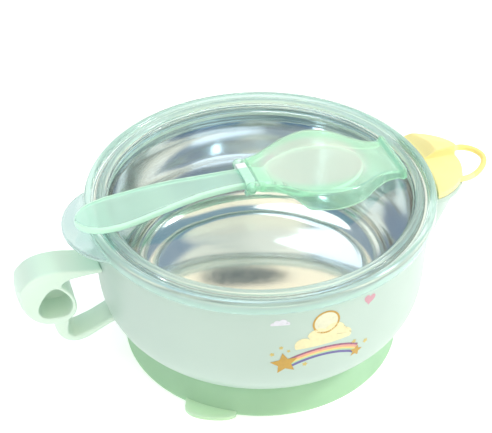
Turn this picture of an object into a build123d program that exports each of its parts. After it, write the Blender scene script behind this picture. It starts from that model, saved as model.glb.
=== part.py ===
"""Insulated suction bowl for a baby: one STEP file per sub-part, in millimetres.

A plastic outer shell holds a steel liner bowl, with warm water in the gap between them. The water
goes in through a half-round spout, closed by a soft plug. A clear lid covers the liner, a spoon with
a flip-up cover rests on the lid, and a soft suction cup holds the shell to the table.

+Z is up and the origin is the centre of the table face. +X points at the filler spout, and -X at the
handle and the lid's lift tab.
"""
import os
from math import cos, hypot, radians, sin

from build123d import *

# ---------------------------------------------------------------- driving dimensions

CUP_R = 57.6            # suction cup rim
CUP_TOP_Z = 11.9        # where the cup meets the shell
FOOT_Z = 12.0           # underside of the shell
SHELL_R = 67.5          # shell wall at the mouth
SHELL_WALL = 2.2
SHELL_TOP_Z = 66.5
SHELL_SIDE = [          # outer side as (radius, height), from the foot to the mouth
    (52.6, 12.5), (56.2, 15.2), (61.0, 19.2), (64.8, 25.0), (66.6, 32.0), (67.2, 42.0),
    (SHELL_R, 56.0),
]
MOUTH_R = 65.6          # bore of the shell's mouth
GRIP_RING_R = (43.5, 46.0)      # ring under the shell that plugs into the cup
GRIP_RING_Z = 8.2

LINER_MOUTH_R = 64.0    # inside of the steel liner
LINER_T = 0.7           # steel sheet
LINER_FLOOR_Z = 19.0
LINER_RIM_Z = 67.8      # top of the liner's rolled rim
LINER_RIM_R = 67.2

LID_R = 70.2            # lid skirt
LID_T = 1.6
LID_PLATE_Z = 69.3      # top of the lid's centre plate
LID_RIM_Z = 71.0        # top of the lid's outer rim
LID_SKIRT_Z = 65.8
PLUG_WALL_R = 63.3      # lid wall that goes down into the liner
PLUG_WALL_Z = 61.5
TAB_CENTRE_X = -54.1    # lift tab: a circle that shows beyond the skirt
TAB_R = 26.0
TAB_T = 1.8

SPOUT_X = 64.0          # axis of the half-round spout
SPOUT_R = 21.9
SPOUT_TOP_Z = 65.0
SPOUT_ROOF = 2.0
FILL_HOLE_X = 75.9
FILL_HOLE_R = 4.2

PAD_R = 21.0            # plug pad, a half moon outside the lid
PAD_GAP_R = 71.2        # the pad keeps outside this circle
PAD_T = 2.4
WEDGE_Y = 3.0           # the step between the pad's flat half and its raised half
LOOP_WIRE_R = 1.25

HANDLE_HALF_W = 7.2
HANDLE_TOP_Z = 53.4
HANDLE_REACH = 101.3    # the roll's end, out from the bowl's axis
HANDLE_END_R = 19.0     # rounding of the handle's end in plan
STRUT_HALF_W = 6.2
POCKET_WEB = 1.8        # the roll is closed by this web on its +Y side

SPOON_T = 3.4
SPOON_END_X = -75.6
NECK_X = -6.5           # where the clip and the cover's hinge sit
NECK_HALF_W = 5.6
NECK_TOP_Z = 78.9
BOWL_X = 22.4           # centre of the spoon's oval bowl
BOWL_HALF_L = 20.6
BOWL_HALF_W = 15.8
BOWL_RIM_Z = 74.6
BOWL_DEPTH = 5.1
SPOON_YAW = 2.5         # the spoon lies turned this much on the lid, degrees

COVER_BASE_Z = 70.1
COVER_TOP_Z = 78.9
COVER_TIP_TOP_Z = 74.0
COVER_WALL = 1.3
COVER_END_X = 58.0
PIN_Z = 78.2            # hinge axis of the cover, across the spoon
PIN_R = 1.1
CLIP_HALF_W = 7.0

TAB_ANGLE = 233.0       # the release flap's direction round the cup, degrees from +X
FLAP_ROOT_R = 58.0
FLAP_REACH = 5.2
FLAP_HALF_W = 10.0

CLEARANCE = 0.07        # radial running fit


# ---------------------------------------------------------------- helpers

def turned(*edges):
    """Solid of revolution about Z from a closed outline in (radius, height)."""
    return revolve(Plane.XZ * make_face(edges), Axis.Z)


def ring(r_in, r_out, z_low, z_high):
    """Plain ring about Z."""
    tube = Cylinder(r_out, z_high - z_low) - Cylinder(r_in, z_high - z_low)
    return Pos(0, 0, (z_low + z_high) / 2) * tube


def drum(r, z_low, z_high, x=0.0):
    """Plain cylinder about the vertical line through (x, 0)."""
    return Pos(x, 0, (z_low + z_high) / 2) * Cylinder(r, z_high - z_low)


def plate(face, z_low, z_high):
    """Flat plan outline made solid between two heights."""
    return extrude(Pos(0, 0, z_low) * face, z_high - z_low, dir=(0, 0, 1))


def side_slab(face, half_width):
    """Side outline, drawn in (x, z), made solid equally to both sides of Y = 0."""
    return extrude(Plane.XZ * face, half_width, both=True)


def turn_about_z(shape, degrees):
    return Rot(0, 0, degrees) * shape


def drawn_in(points, distance):
    """The same side outline moved inwards, each point square to its neighbours' chord."""
    moved = []
    for i, (r, z) in enumerate(points):
        before = points[max(i - 1, 0)]
        after = points[min(i + 1, len(points) - 1)]
        dr, dz = after[0] - before[0], after[1] - before[1]
        length = hypot(dr, dz)
        moved.append((r - distance * dz / length, z + distance * dr / length))
    return moved


def soften(solid, edges, radius):
    """Fillet the edges, with a smaller radius if the full one can't be made."""
    for share in (1.0, 0.7, 0.45):
        try:
            return fillet(edges, radius * share)
        except Exception:
            continue
    print("left sharp:", len(edges), "edges, radius", radius)
    return solid


# ---------------------------------------------------------------- shell and handle

def shell_body():
    """Outside of the shell as one filled solid, without its spout."""
    foot_r, foot_edge_z = SHELL_SIDE[0]
    edge = 0.6
    return turned(
        Line((0, FOOT_Z), (foot_r - 1.2, FOOT_Z)),
        ThreePointArc(
            (foot_r - 1.2, FOOT_Z), (foot_r - 0.5, FOOT_Z + 0.1), (foot_r, foot_edge_z),
        ),
        Spline(*SHELL_SIDE, tangents=[(0.75, 0.66), (0.0, 1.0)]),
        Line(SHELL_SIDE[-1], (SHELL_R, SHELL_TOP_Z - edge)),
        Line((SHELL_R, SHELL_TOP_Z - edge), (SHELL_R - edge, SHELL_TOP_Z)),
        Line((SHELL_R - edge, SHELL_TOP_Z), (0, SHELL_TOP_Z)),
        Line((0, SHELL_TOP_Z), (0, FOOT_Z)),
    )


def shell_cavity():
    """Water space and liner space inside the shell."""
    floor_z = FOOT_Z + SHELL_WALL
    side = drawn_in(SHELL_SIDE, SHELL_WALL)[1:-1]
    low_r = 49.6
    return turned(
        Line((0, floor_z), (low_r, floor_z)),
        Spline((low_r, floor_z), *side, (MOUTH_R, 56.0), tangents=[(0.9, 0.3), (0.0, 1.0)]),
        Line((MOUTH_R, 56.0), (MOUTH_R, SHELL_TOP_Z)),
        Line((MOUTH_R, SHELL_TOP_Z), (0, SHELL_TOP_Z)),
        Line((0, SHELL_TOP_Z), (0, floor_z)),
    )


def spout_form(inset):
    """The spout's tapering body about its own axis, drawn in by inset on every side."""
    top_z = SPOUT_TOP_Z - (SPOUT_ROOF if inset else 0.0)
    low_z = 22.5 + inset
    neck_r = 19.4 - inset
    neck_z = SPOUT_TOP_Z - 4.4
    taper = Spline(
        (neck_r, neck_z), (17.4 - inset, 54.0), (14.4 - inset, 45.0), (11.6 - inset, 36.5),
        (8.4 - inset, 29.5), (4.4 - inset * 0.6, 24.6 + inset * 0.5), (0, low_z),
        tangents=[(-0.2, -1.0), (-1.0, -0.1)],
    )
    form = turned(
        Line((0, low_z), (0, top_z)),
        Line((0, top_z), (neck_r, top_z)),
        Line((neck_r, top_z), (neck_r, neck_z)),
        taper,
    )
    return Pos(SPOUT_X, 0, 0) * form


def spout_flange():
    """Rim of the spout's flat top, rounded underneath."""
    low_z = SPOUT_TOP_Z - 2.4
    return Pos(SPOUT_X, 0, 0) * turned(
        Line((0, low_z - 2.0), (0, SPOUT_TOP_Z)),
        Line((0, SPOUT_TOP_Z), (SPOUT_R - 0.7, SPOUT_TOP_Z)),
        ThreePointArc(
            (SPOUT_R - 0.7, SPOUT_TOP_Z), (SPOUT_R - 0.2, SPOUT_TOP_Z - 0.2),
            (SPOUT_R, SPOUT_TOP_Z - 0.7),
        ),
        Line((SPOUT_R, SPOUT_TOP_Z - 0.7), (SPOUT_R, low_z + 0.6)),
        Spline((SPOUT_R, low_z + 0.6), (19.4, low_z - 2.0), tangents=[(-0.1, -1.0), (-0.2, -1.0)]),
        Line((19.4, low_z - 2.0), (0, low_z - 2.0)),
    )


def make_outer_shell():
    """Shell with its spout, filler hole and the ring that plugs into the suction cup."""
    body = shell_body() + spout_form(0) + spout_flange()
    body -= shell_cavity()
    body -= spout_form(SHELL_WALL)
    body -= drum(MOUTH_R, SHELL_TOP_Z - 8, SHELL_TOP_Z + 1)
    body -= drum(FILL_HOLE_R, SPOUT_TOP_Z - 6, SPOUT_TOP_Z + 1, FILL_HOLE_X)
    return body + ring(*GRIP_RING_R, GRIP_RING_Z, FOOT_Z + 0.5)


def ribbon_outline():
    """Side outline of the upper arm and of the roll at its end, drawn as one run from the shell."""
    return make_face([
        Spline(
            (-60.0, 50.4), (-68.0, 50.8), (-75.0, 51.8), (-82.0, HANDLE_TOP_Z - 0.2),
            (-88.5, HANDLE_TOP_Z), (-94.4, 52.0), (-98.8, 48.6), (-HANDLE_REACH, 43.4),
            (-99.8, 37.2), (-97.0, 32.0), (-93.2, 28.6), (-88.2, 27.1), (-83.4, 27.6),
            (-79.6, 30.0), (-78.3, 34.4), (-79.4, 39.6), (-81.9, 43.6), (-83.5, 46.0),
            (-81.9, 47.5), (-78.0, 48.4), (-71.0, 48.9), (-60.0, 48.4),
        ),
        Line((-60.0, 48.4), (-60.0, 50.4)),
    ])


def pocket_outline():
    """Side outline of the egg-shaped pocket in the roll."""
    return make_face(Spline(
        (-93.7, 35.2), (-91.6, 40.6), (-86.4, 45.0), (-81.8, 41.0), (-80.0, 35.2), (-82.2, 31.0),
        (-87.0, 30.4), (-91.8, 31.6), periodic=True,
    ))


def strut_outline():
    """Side outline of the lower strut, a thin hook from the shell up to the roll."""
    return make_face([
        Spline(
            (-60.0, 22.6), (-66.3, 20.2), (-71.7, 17.3), (-76.7, 15.1), (-81.2, 15.1), (-84.8, 17.2),
            (-87.0, 20.8), (-88.2, 28.4),
        ),
        Line((-88.2, 28.4), (-82.0, 28.4)),
        Spline(
            (-82.0, 28.4), (-82.3, 24.0), (-82.2, 19.6), (-80.0, 17.9), (-77.0, 18.4), (-72.0, 20.2),
            (-67.0, 22.7), (-60.0, 25.2),
        ),
        Line((-60.0, 25.2), (-60.0, 22.6)),
    ])


def handle_plan():
    """Plan that rounds the handle's far end between its two sides."""
    end_x = HANDLE_END_R - HANDLE_REACH
    straight = Pos(end_x + 20, 0) * Rectangle(40, 2 * HANDLE_END_R)
    return Pos(end_x, 0) * Circle(HANDLE_END_R) + straight


def soft_sided(outline, half_width, radius):
    """Slab from a side outline, with its two side rims rounded."""
    slab = side_slab(outline, half_width)
    rims = slab.edges().filter_by(
        lambda e: abs(abs(e.center().Y) - half_width) < 0.01 and e.length > 6
    )
    return soften(slab, rims, radius)


def make_handle():
    """Ribbon handle, welded to the shell at the upper arm and at the strut."""
    ribbon = soft_sided(ribbon_outline(), HANDLE_HALF_W, 1.1) & plate(handle_plan(), 10, 60)
    pocket = Pos(0, -POCKET_WEB, 0) * side_slab(pocket_outline(), HANDLE_HALF_W)
    strut = soft_sided(strut_outline(), STRUT_HALF_W, 0.9)
    return ribbon - pocket + strut - shell_body()


# ---------------------------------------------------------------- liner and its seal

def make_liner_bowl():
    """Pressed steel bowl with a turned-out rim."""
    fillet_r = 13.0
    fillet_x = 46.0
    wall_low = (fillet_x + fillet_r, LINER_FLOOR_Z + fillet_r)
    t = LINER_T
    rim_under = LINER_RIM_Z - t
    return turned(
        Line((0, LINER_FLOOR_Z), (fillet_x, LINER_FLOOR_Z)),
        ThreePointArc(
            (fillet_x, LINER_FLOOR_Z),
            (fillet_x + fillet_r * sin(radians(45)), wall_low[1] - fillet_r * cos(radians(45))),
            wall_low,
        ),
        Spline(
            wall_low, (LINER_MOUTH_R, 58.0),
            tangents=[(0.0, 1.0), (0.0, 1.0)],
        ),
        Line((LINER_MOUTH_R, 58.0), (LINER_MOUTH_R, LINER_RIM_Z)),
        Line((LINER_MOUTH_R, LINER_RIM_Z), (LINER_RIM_R, LINER_RIM_Z)),
        Line((LINER_RIM_R, LINER_RIM_Z), (LINER_RIM_R, rim_under)),
        Line((LINER_RIM_R, rim_under), (LINER_MOUTH_R + t, rim_under)),
        Line((LINER_MOUTH_R + t, rim_under), (LINER_MOUTH_R + t, 58.0)),
        Spline(
            (LINER_MOUTH_R + t, 58.0), (wall_low[0] + t, wall_low[1]),
            tangents=[(0.0, -1.0), (0.0, -1.0)],
        ),
        ThreePointArc(
            (wall_low[0] + t, wall_low[1]),
            (
                fillet_x + (fillet_r + t) * sin(radians(45)),
                wall_low[1] - (fillet_r + t) * cos(radians(45)),
            ),
            (fillet_x, LINER_FLOOR_Z - t),
        ),
        Line((fillet_x, LINER_FLOOR_Z - t), (0, LINER_FLOOR_Z - t)),
        Line((0, LINER_FLOOR_Z - t), (0, LINER_FLOOR_Z)),
    )


def make_liner_seal():
    """Soft ring that hangs under the liner's rim and seals in the shell's mouth."""
    inner = LINER_MOUTH_R + LINER_T + 0.05
    body_r = inner + 0.35
    lip_r = MOUTH_R - CLEARANCE
    under_rim = LINER_RIM_Z - LINER_T
    seal = ring(inner, body_r, 60.5, under_rim)
    seal += ring(inner, LINER_RIM_R - 0.3, SHELL_TOP_Z + 0.1, under_rim)
    for low_z in (61.0, 63.4):
        seal += ring(inner, lip_r, low_z, low_z + 1.0)
    return seal


# ---------------------------------------------------------------- lid and its seal

def make_lid():
    """Clear lid: centre plate, inner ring with its plug wall, flat band, outer rim, skirt, tab."""
    wall_in = PLUG_WALL_R - 1.5
    ring_top = LID_RIM_Z + 0.4
    band_z = LID_PLATE_Z + 0.5
    band_under = LINER_RIM_Z + 0.15
    lid = turned(Polyline(
        (0, LID_PLATE_Z), (61.4, LID_PLATE_Z), (62.2, ring_top - 0.4), (62.6, ring_top),
        (63.9, ring_top), (64.3, ring_top - 0.4), (64.7, band_z), (67.1, band_z),
        (67.9, LID_RIM_Z - 0.2), (68.4, LID_RIM_Z), (69.5, LID_RIM_Z), (LID_R, LID_RIM_Z - 0.8),
        (LID_R, LID_SKIRT_Z), (LID_R - 1.6, LID_SKIRT_Z), (LID_R - 1.7, band_under),
        (PLUG_WALL_R, band_under), (PLUG_WALL_R, 65.6), (62.7, 65.4), (62.7, 64.2),
        (PLUG_WALL_R, 64.0), (PLUG_WALL_R, PLUG_WALL_Z), (wall_in, PLUG_WALL_Z),
        (wall_in, LID_PLATE_Z - LID_T), (0, LID_PLATE_Z - LID_T), close=True,
    ).edges())
    tab = drum(TAB_R, LID_SKIRT_Z, LID_SKIRT_Z + TAB_T, TAB_CENTRE_X)
    tab -= drum(LID_R - 0.8, LID_SKIRT_Z - 1, LID_SKIRT_Z + 4)
    return lid + tab


def make_lid_seal():
    """Thin soft ring in the plug wall's groove, with one rounded lip."""
    lip_r = LINER_MOUTH_R - CLEARANCE
    return turned(
        Line((62.75, 64.3), (62.75, 65.3)),
        Line((62.75, 65.3), (63.35, 65.5)),
        ThreePointArc((63.35, 65.5), (lip_r, 64.8), (63.35, 64.1)),
        Line((63.35, 64.1), (62.75, 64.3)),
    )


# ---------------------------------------------------------------- spoon, clip and cover

def spoon_bar():
    """Paddle handle and neck: half a plan outline cut to a gently arched side, then mirrored."""
    rim = [
        (8.0, NECK_HALF_W), (NECK_X, NECK_HALF_W), (-27.0, 6.7), (-42.0, 8.8), (-57.0, 10.2),
        (-69.0, 8.6), (SPOON_END_X, 0.0),
    ]
    half_plan = make_face([
        Spline(*rim, tangents=[(-1.0, 0.0), (0.0, -1.0)]),
        Line(rim[-1], (rim[0][0], 0.0)),
        Line((rim[0][0], 0.0), rim[0]),
    ])
    top = [
        (12.0, 73.4), (8.0, 74.8), (0.0, NECK_TOP_Z - 1.7), (NECK_X, NECK_TOP_Z), (-27.0, 79.1),
        (-42.0, 77.8), (-57.0, 75.7), (SPOON_END_X - 4, 74.3),
    ]
    under = [(x, z - SPOON_T) for x, z in reversed(top)]
    side = make_face([
        Spline(*top), Line(top[-1], under[0]), Spline(*under), Line(under[-1], top[0]),
    ])
    half = side_slab(side, 15) & plate(half_plan, 60, 90)
    return half + mirror(half, Plane.XZ)


def make_spoon():
    """Spoon: oval bowl hollowed from above, joined to the flat bar."""
    outer = scale(Sphere(1), by=(BOWL_HALF_L, BOWL_HALF_W, BOWL_DEPTH))
    inner = scale(Sphere(1), by=(BOWL_HALF_L - 1.5, BOWL_HALF_W - 1.5, BOWL_DEPTH - 1.4))
    below_rim = Pos(0, 0, -10) * Box(60, 60, 20)
    bowl = Pos(BOWL_X, 0, BOWL_RIM_Z) * (outer & below_rim)
    hollow = Pos(BOWL_X, 0, BOWL_RIM_Z) * inner
    bar = spoon_bar()
    edges = bar.edges().filter_by(lambda e: e.center().X < 0.0 and e.length > 20)
    bar = soften(bar, edges, 1.3)
    return turn_about_z((bowl + bar) - hollow, SPOON_YAW)


def make_cover_clip():
    """White clip snapped up round the neck, with a hinge pin on each side."""
    half_l = 2.0
    low_z = NECK_TOP_Z - SPOON_T - 1.6
    top_z = NECK_TOP_Z + 1.6
    clip = Pos(NECK_X, 0, (low_z + top_z) / 2) * Box(2 * half_l, 2 * CLIP_HALF_W, top_z - low_z)
    clip = soften(clip, clip.edges().filter_by(Axis.X).group_by(Axis.Z)[-1], 1.6)
    neck = Pos(NECK_X, 0, NECK_TOP_Z - SPOON_T / 2) * Box(
        2 * half_l + 1, 2 * NECK_HALF_W + 0.5, SPOON_T + 1.2
    )
    mouth = Pos(NECK_X, 0, low_z) * Box(2 * half_l + 1, 2 * NECK_HALF_W - 1.6, 4)
    pin = Pos(NECK_X, 0, PIN_Z) * Rot(90, 0, 0) * Cylinder(PIN_R, 2 * (CLIP_HALF_W + 2.4))
    pin -= Pos(NECK_X, 0, PIN_Z) * Box(8, 2 * CLIP_HALF_W - 1, 8)
    return turn_about_z(clip - neck - mouth + pin, SPOON_YAW)


def cover_plan(inset):
    """Plan outline of the cover: slim at the neck, full round the bowl, squared at the tip."""
    end_x = COVER_END_X - inset
    edge = [
        (-3.0, 9.8), (2.0, 11.3), (8.0, 15.0), (15.0, 19.6), (26.0, 22.5), (36.0, 20.4),
        (43.5, 15.2), (50.0, 11.9), (end_x, 11.8),
    ]
    top = [(x, y - inset) for x, y in edge]
    low = [(x, -y) for x, y in reversed(top)]
    return make_face([
        Spline(*top), Line(top[-1], low[0]), Spline(*low), Line(low[-1], top[0]),
    ])


def cover_side(inset):
    """Side outline of the cover, with its low edge arched up at the neck; open below when inset."""
    top_z = COVER_TOP_Z - inset
    tip_z = COVER_TIP_TOP_Z - inset
    drop = 5.0 if inset else 0.0
    end_x = COVER_END_X + (5 if inset else 1)
    start = (-3.5, top_z + 1.1)
    crown = Spline(
        start, (4.0, top_z + 0.8), (14.0, top_z + 0.2), (26.0, top_z), (38.0, top_z - 1.5),
        (47.0, tip_z + 1.2), (end_x, tip_z), tangents=[(1.0, 0.0), (1.0, 0.0)],
    )
    base_z = COVER_BASE_Z - drop
    arch = Spline(
        (14.0, base_z), (9.6, COVER_BASE_Z + 3.6 - drop), (4.0, COVER_BASE_Z + 5.9 - drop),
        (-3.5, COVER_BASE_Z + 6.2 - drop), tangents=[(-0.3, 1.0), (-1.0, 0.0)],
    )
    return make_face([
        crown,
        Line((end_x, tip_z), (end_x, base_z)),
        Line((end_x, base_z), (14.0, base_z)),
        arch,
        Line((-3.5, COVER_BASE_Z + 6.2 - drop), start),
    ])


def make_spoon_cover():
    """Thin-walled cover over the spoon's bowl, with two hinge lugs at the neck."""
    outer = side_slab(cover_side(0), 30) & plate(cover_plan(0), 60, 90)
    crown = outer.edges().filter_by(
        lambda e: e.center().Z > COVER_TIP_TOP_Z - 0.5 and e.length > 30
    )
    outer = soften(outer, crown, 1.6)
    inner = side_slab(cover_side(COVER_WALL), 30) & plate(cover_plan(COVER_WALL), 50, 90)
    cover = outer - inner
    lug_in = CLIP_HALF_W + 0.25
    lug_t = 2.2
    lug_face = Pos(NECK_X, PIN_Z) * Circle(2.2)
    lug_face += Pos(NECK_X + 2.4, PIN_Z - 0.8) * Rectangle(4.8, 2.8)
    lug_face -= Pos(NECK_X, PIN_Z) * Circle(PIN_R + CLEARANCE)
    for side in (1, -1):
        slab = extrude(Plane.XZ * lug_face, lug_t / 2, both=True)
        cover += Pos(0, side * (lug_in + lug_t / 2), 0) * slab
    return turn_about_z(cover, SPOON_YAW)


# ---------------------------------------------------------------- plug

def pad_blank(z_low, z_high):
    """Half moon between the lid's skirt and the pad's own round edge."""
    moon = drum(PAD_R, z_low, z_high, SPOUT_X + 0.4) - drum(PAD_GAP_R, z_low - 1, z_high + 1)
    return moon & (Pos(100, 0, 60) * Box(70, 60, 60))


def pad_wedge(pad_z):
    """Raised back half of the pad: a ridge along the step, lower towards the back and the lid."""
    across = make_face(Polyline(
        (WEDGE_Y, pad_z - 0.5), (WEDGE_Y, pad_z + 5.2), (12.0, pad_z + 3.6), (24.0, pad_z + 1.8),
        (24.0, pad_z - 0.5), close=True,
    ))
    wedge = Pos(60, 0, 0) * extrude(Plane.YZ * across, 30, dir=(1, 0, 0))
    wedge &= pad_blank(pad_z - 0.5, pad_z + 8)
    above = turned(Polyline(
        (60, pad_z + 0.4), (72.0, pad_z + 0.9), (76.5, pad_z + 3.8), (90, pad_z + 5.6),
        (90, pad_z + 20), (60, pad_z + 20), close=True,
    ).edges())
    return wedge - above


def make_filler_plug():
    """Soft plug: pad, raised back half, ribbed stem in the fill hole, and a pull loop."""
    base_z = SPOUT_TOP_Z
    pad_z = base_z + PAD_T
    plug = pad_blank(base_z, pad_z) + pad_wedge(pad_z)
    stem_r = FILL_HOLE_R - CLEARANCE
    plug += drum(stem_r, base_z - SPOUT_ROOF, base_z + 0.5, FILL_HOLE_X)
    plug += drum(stem_r - 0.8, base_z - 8.0, base_z, FILL_HOLE_X)
    for low_z in (base_z - 4.2, base_z - 6.4):
        plug += drum(stem_r, low_z, low_z + 0.9, FILL_HOLE_X)
    path = Spline(
        (83.4, 4.6, base_z + 3.5), (91.0, 4.9, base_z + 3.2), (95.4, -0.8, base_z + 2.5),
        (92.0, -8.2, base_z + 1.9), (81.6, -12.2, base_z + 1.3),
    )
    loop = sweep(Plane(origin=path @ 0, z_dir=path % 0) * Circle(LOOP_WIRE_R), path)
    return plug + loop


# ---------------------------------------------------------------- suction cup and its flap

def make_suction_cup():
    """Soft cup with a groove that grips the ring under the shell."""
    cup = turned(
        Line((0, 3.4), (0, 6.2)),
        Line((0, 6.2), (36.0, 6.2)),
        Line((36.0, 6.2), (40.0, CUP_TOP_Z)),
        Line((40.0, CUP_TOP_Z), (50.6, CUP_TOP_Z)),
        Spline(
            (50.6, CUP_TOP_Z), (52.4, 9.6), (54.6, 5.4), (CUP_R - 0.5, 1.7),
            tangents=[(0.9, -0.4), (0.7, -0.7)],
        ),
        ThreePointArc((CUP_R - 0.5, 1.7), (CUP_R, 0.8), (CUP_R - 0.6, 0)),
        Line((CUP_R - 0.6, 0), (52.0, 0)),
        Spline((52.0, 0), (30.0, 2.4), (0, 3.4), tangents=[(-1.0, 0.16), (-1.0, 0.0)]),
    )
    groove_low = GRIP_RING_Z - 0.2
    groove = ring(
        GRIP_RING_R[0] - CLEARANCE, GRIP_RING_R[1] + CLEARANCE, groove_low, CUP_TOP_Z + 1
    )
    return cup - groove


def make_release_tab():
    """Flap at the cup's rim, drawn along +X and then turned to its place."""
    tip = FLAP_ROOT_R + FLAP_REACH
    plan = make_face([
        Line((FLAP_ROOT_R - 4, FLAP_HALF_W), (FLAP_ROOT_R - 4, -FLAP_HALF_W)),
        Spline(
            (FLAP_ROOT_R - 4, -FLAP_HALF_W), (tip - 2.0, -FLAP_HALF_W - 0.4),
            (tip - 0.6, -FLAP_HALF_W + 2.6), (tip - 0.9, 0.0), (FLAP_ROOT_R - 0.6, FLAP_HALF_W),
            tangents=[(1.0, 0.0), (-0.6, 1.0)],
        ),
        Line((FLAP_ROOT_R - 0.6, FLAP_HALF_W), (FLAP_ROOT_R - 4, FLAP_HALF_W)),
    ])
    flap = plate(plan, 0.3, 2.1) - drum(FLAP_ROOT_R, -1, 4)
    return turn_about_z(flap, TAB_ANGLE)


# ---------------------------------------------------------------- write the parts

PARTS = {
    "outer_shell": make_outer_shell,
    "handle": make_handle,
    "liner_bowl": make_liner_bowl,
    "liner_seal": make_liner_seal,
    "lid": make_lid,
    "lid_seal": make_lid_seal,
    "spoon": make_spoon,
    "cover_clip": make_cover_clip,
    "spoon_cover": make_spoon_cover,
    "filler_plug": make_filler_plug,
    "suction_cup": make_suction_cup,
    "release_tab": make_release_tab,
}

os.makedirs("parts", exist_ok=True)
for name, make in PARTS.items():
    export_step(make(), "parts/" + name + ".step")
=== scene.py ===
"""Looks of the insulated suction bowl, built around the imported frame.

Lengths in this file are millimetres unless a name says otherwise. The frame is the part's own: the
origin on the table under the bowl's axis, +Z up, +X towards the water spout, -X towards the handle.
Lights and the camera are placed in metres.
"""
from math import cos, degrees, pi, radians, sin, sqrt

import bmesh
import bpy
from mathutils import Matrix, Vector


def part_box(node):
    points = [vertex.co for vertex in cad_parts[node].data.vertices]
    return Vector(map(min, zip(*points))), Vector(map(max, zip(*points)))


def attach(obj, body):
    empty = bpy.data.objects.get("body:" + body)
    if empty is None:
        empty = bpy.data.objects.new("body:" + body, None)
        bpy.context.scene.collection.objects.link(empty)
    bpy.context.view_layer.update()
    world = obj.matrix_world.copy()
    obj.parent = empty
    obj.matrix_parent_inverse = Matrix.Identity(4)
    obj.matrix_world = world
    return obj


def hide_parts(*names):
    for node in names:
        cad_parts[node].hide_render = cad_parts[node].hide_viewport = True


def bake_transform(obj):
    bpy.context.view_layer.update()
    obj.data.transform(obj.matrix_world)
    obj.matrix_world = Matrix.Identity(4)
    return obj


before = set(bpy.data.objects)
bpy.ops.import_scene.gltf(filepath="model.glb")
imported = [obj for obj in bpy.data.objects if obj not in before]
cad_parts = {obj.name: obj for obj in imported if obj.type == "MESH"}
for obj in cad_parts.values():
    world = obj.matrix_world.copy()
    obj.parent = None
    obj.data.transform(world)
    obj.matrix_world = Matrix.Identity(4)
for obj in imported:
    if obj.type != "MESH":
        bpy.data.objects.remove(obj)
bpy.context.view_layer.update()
scene = bpy.context.scene
MM = 0.001


def node_box(node):
    """Lowest and highest corner of a CAD node, in mm."""
    low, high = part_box(node)
    return Vector(low) / MM, Vector(high) / MM


SHELL_HIGH = node_box("outer_shell")[1]
LID_HIGH = node_box("lid")[1]
LINER_LOW, LINER_HIGH = node_box("liner_bowl")
CUP_HIGH = node_box("suction_cup")[1]


# ---------------------------------------------------------------- mesh helpers

def make_object(name, points, faces, materials=(), face_slots=None, sharp=35.0):
    """Mesh object from points in mm, outward normals, smooth shading with sharp edges kept."""
    mesh = bpy.data.meshes.new(name)
    mesh.from_pydata([(x * MM, y * MM, z * MM) for x, y, z in points], [], faces)
    for material in materials:
        mesh.materials.append(material)
    if face_slots:
        mesh.polygons.foreach_set("material_index", face_slots)
    work = bmesh.new()
    work.from_mesh(mesh)
    bmesh.ops.remove_doubles(work, verts=work.verts, dist=2e-6)
    bmesh.ops.dissolve_degenerate(work, edges=work.edges, dist=1e-7)
    bmesh.ops.recalc_face_normals(work, faces=work.faces)
    work.to_mesh(mesh)
    work.free()
    finish_shading(mesh, sharp)
    obj = bpy.data.objects.new(name, mesh)
    scene.collection.objects.link(obj)
    return obj


def shade_smooth(mesh):
    mesh.polygons.foreach_set("use_smooth", [True] * len(mesh.polygons))


def finish_shading(mesh, sharp):
    """Smooth shading, with edges kept sharp above an angle in degrees."""
    shade_smooth(mesh)
    mesh.set_sharp_from_angle(angle=radians(sharp))
    mesh.update()


def grid(name, rows, materials=(), row_slots=None, closed=False, sharp=35.0):
    """Surface through rings of points. A ring with one point is a pole."""
    points, starts = [], []
    for row in rows:
        starts.append(len(points))
        points.extend(row)
    faces, slots = [], []
    last = len(rows) if closed else len(rows) - 1
    for j in range(last):
        k = (j + 1) % len(rows)
        a, b = rows[j], rows[k]
        n = max(len(a), len(b))
        for i in range(n):
            i2 = (i + 1) % n
            if len(a) == 1:
                face = (starts[j], starts[k] + i2, starts[k] + i)
            elif len(b) == 1:
                face = (starts[j] + i, starts[j] + i2, starts[k])
            else:
                face = (starts[j] + i, starts[j] + i2, starts[k] + i2, starts[k] + i)
            faces.append(face)
            slots.append(row_slots[j] if row_slots else 0)
    return make_object(name, points, faces, materials, slots, sharp)


def rounded(corners, steps=4):
    """Line through (a, b, radius) corners, each eased by its radius. A 4th value is kept as a tag."""
    out = []
    for i, corner in enumerate(corners):
        a, b, radius = corner[:3]
        tag = corner[3] if len(corner) > 3 else 0
        if radius <= 0 or i in (0, len(corners) - 1):
            out.append((a, b, tag))
            continue
        here = Vector((a, b))
        before = Vector(corners[i - 1][:2]) - here
        after = Vector(corners[i + 1][:2]) - here
        reach = min(radius, before.length * 0.48, after.length * 0.48)
        start = here + before.normalized() * reach
        end = here + after.normalized() * reach
        for s in range(steps + 1):
            t = s / steps
            p = start * (1 - t) ** 2 + here * 2 * t * (1 - t) + end * t ** 2
            out.append((p.x, p.y, tag))
    return out


def smooth_curve(knots, count):
    """Points on a Catmull-Rom curve through the knots (tuples of any length)."""
    pts = [Vector(k) for k in knots]
    pts = [pts[0] * 2 - pts[1]] + pts + [pts[-1] * 2 - pts[-2]]
    spans = len(pts) - 3
    out = []
    for i in range(count):
        u = spans * i / (count - 1)
        k = min(int(u), spans - 1)
        t = u - k
        p0, p1, p2, p3 = pts[k:k + 4]
        out.append(0.5 * (2 * p1 + (p2 - p0) * t + (2 * p0 - 5 * p1 + 4 * p2 - p3) * t ** 2
                          + (3 * p1 - p0 - 3 * p2 + p3) * t ** 3))
    return out


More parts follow.
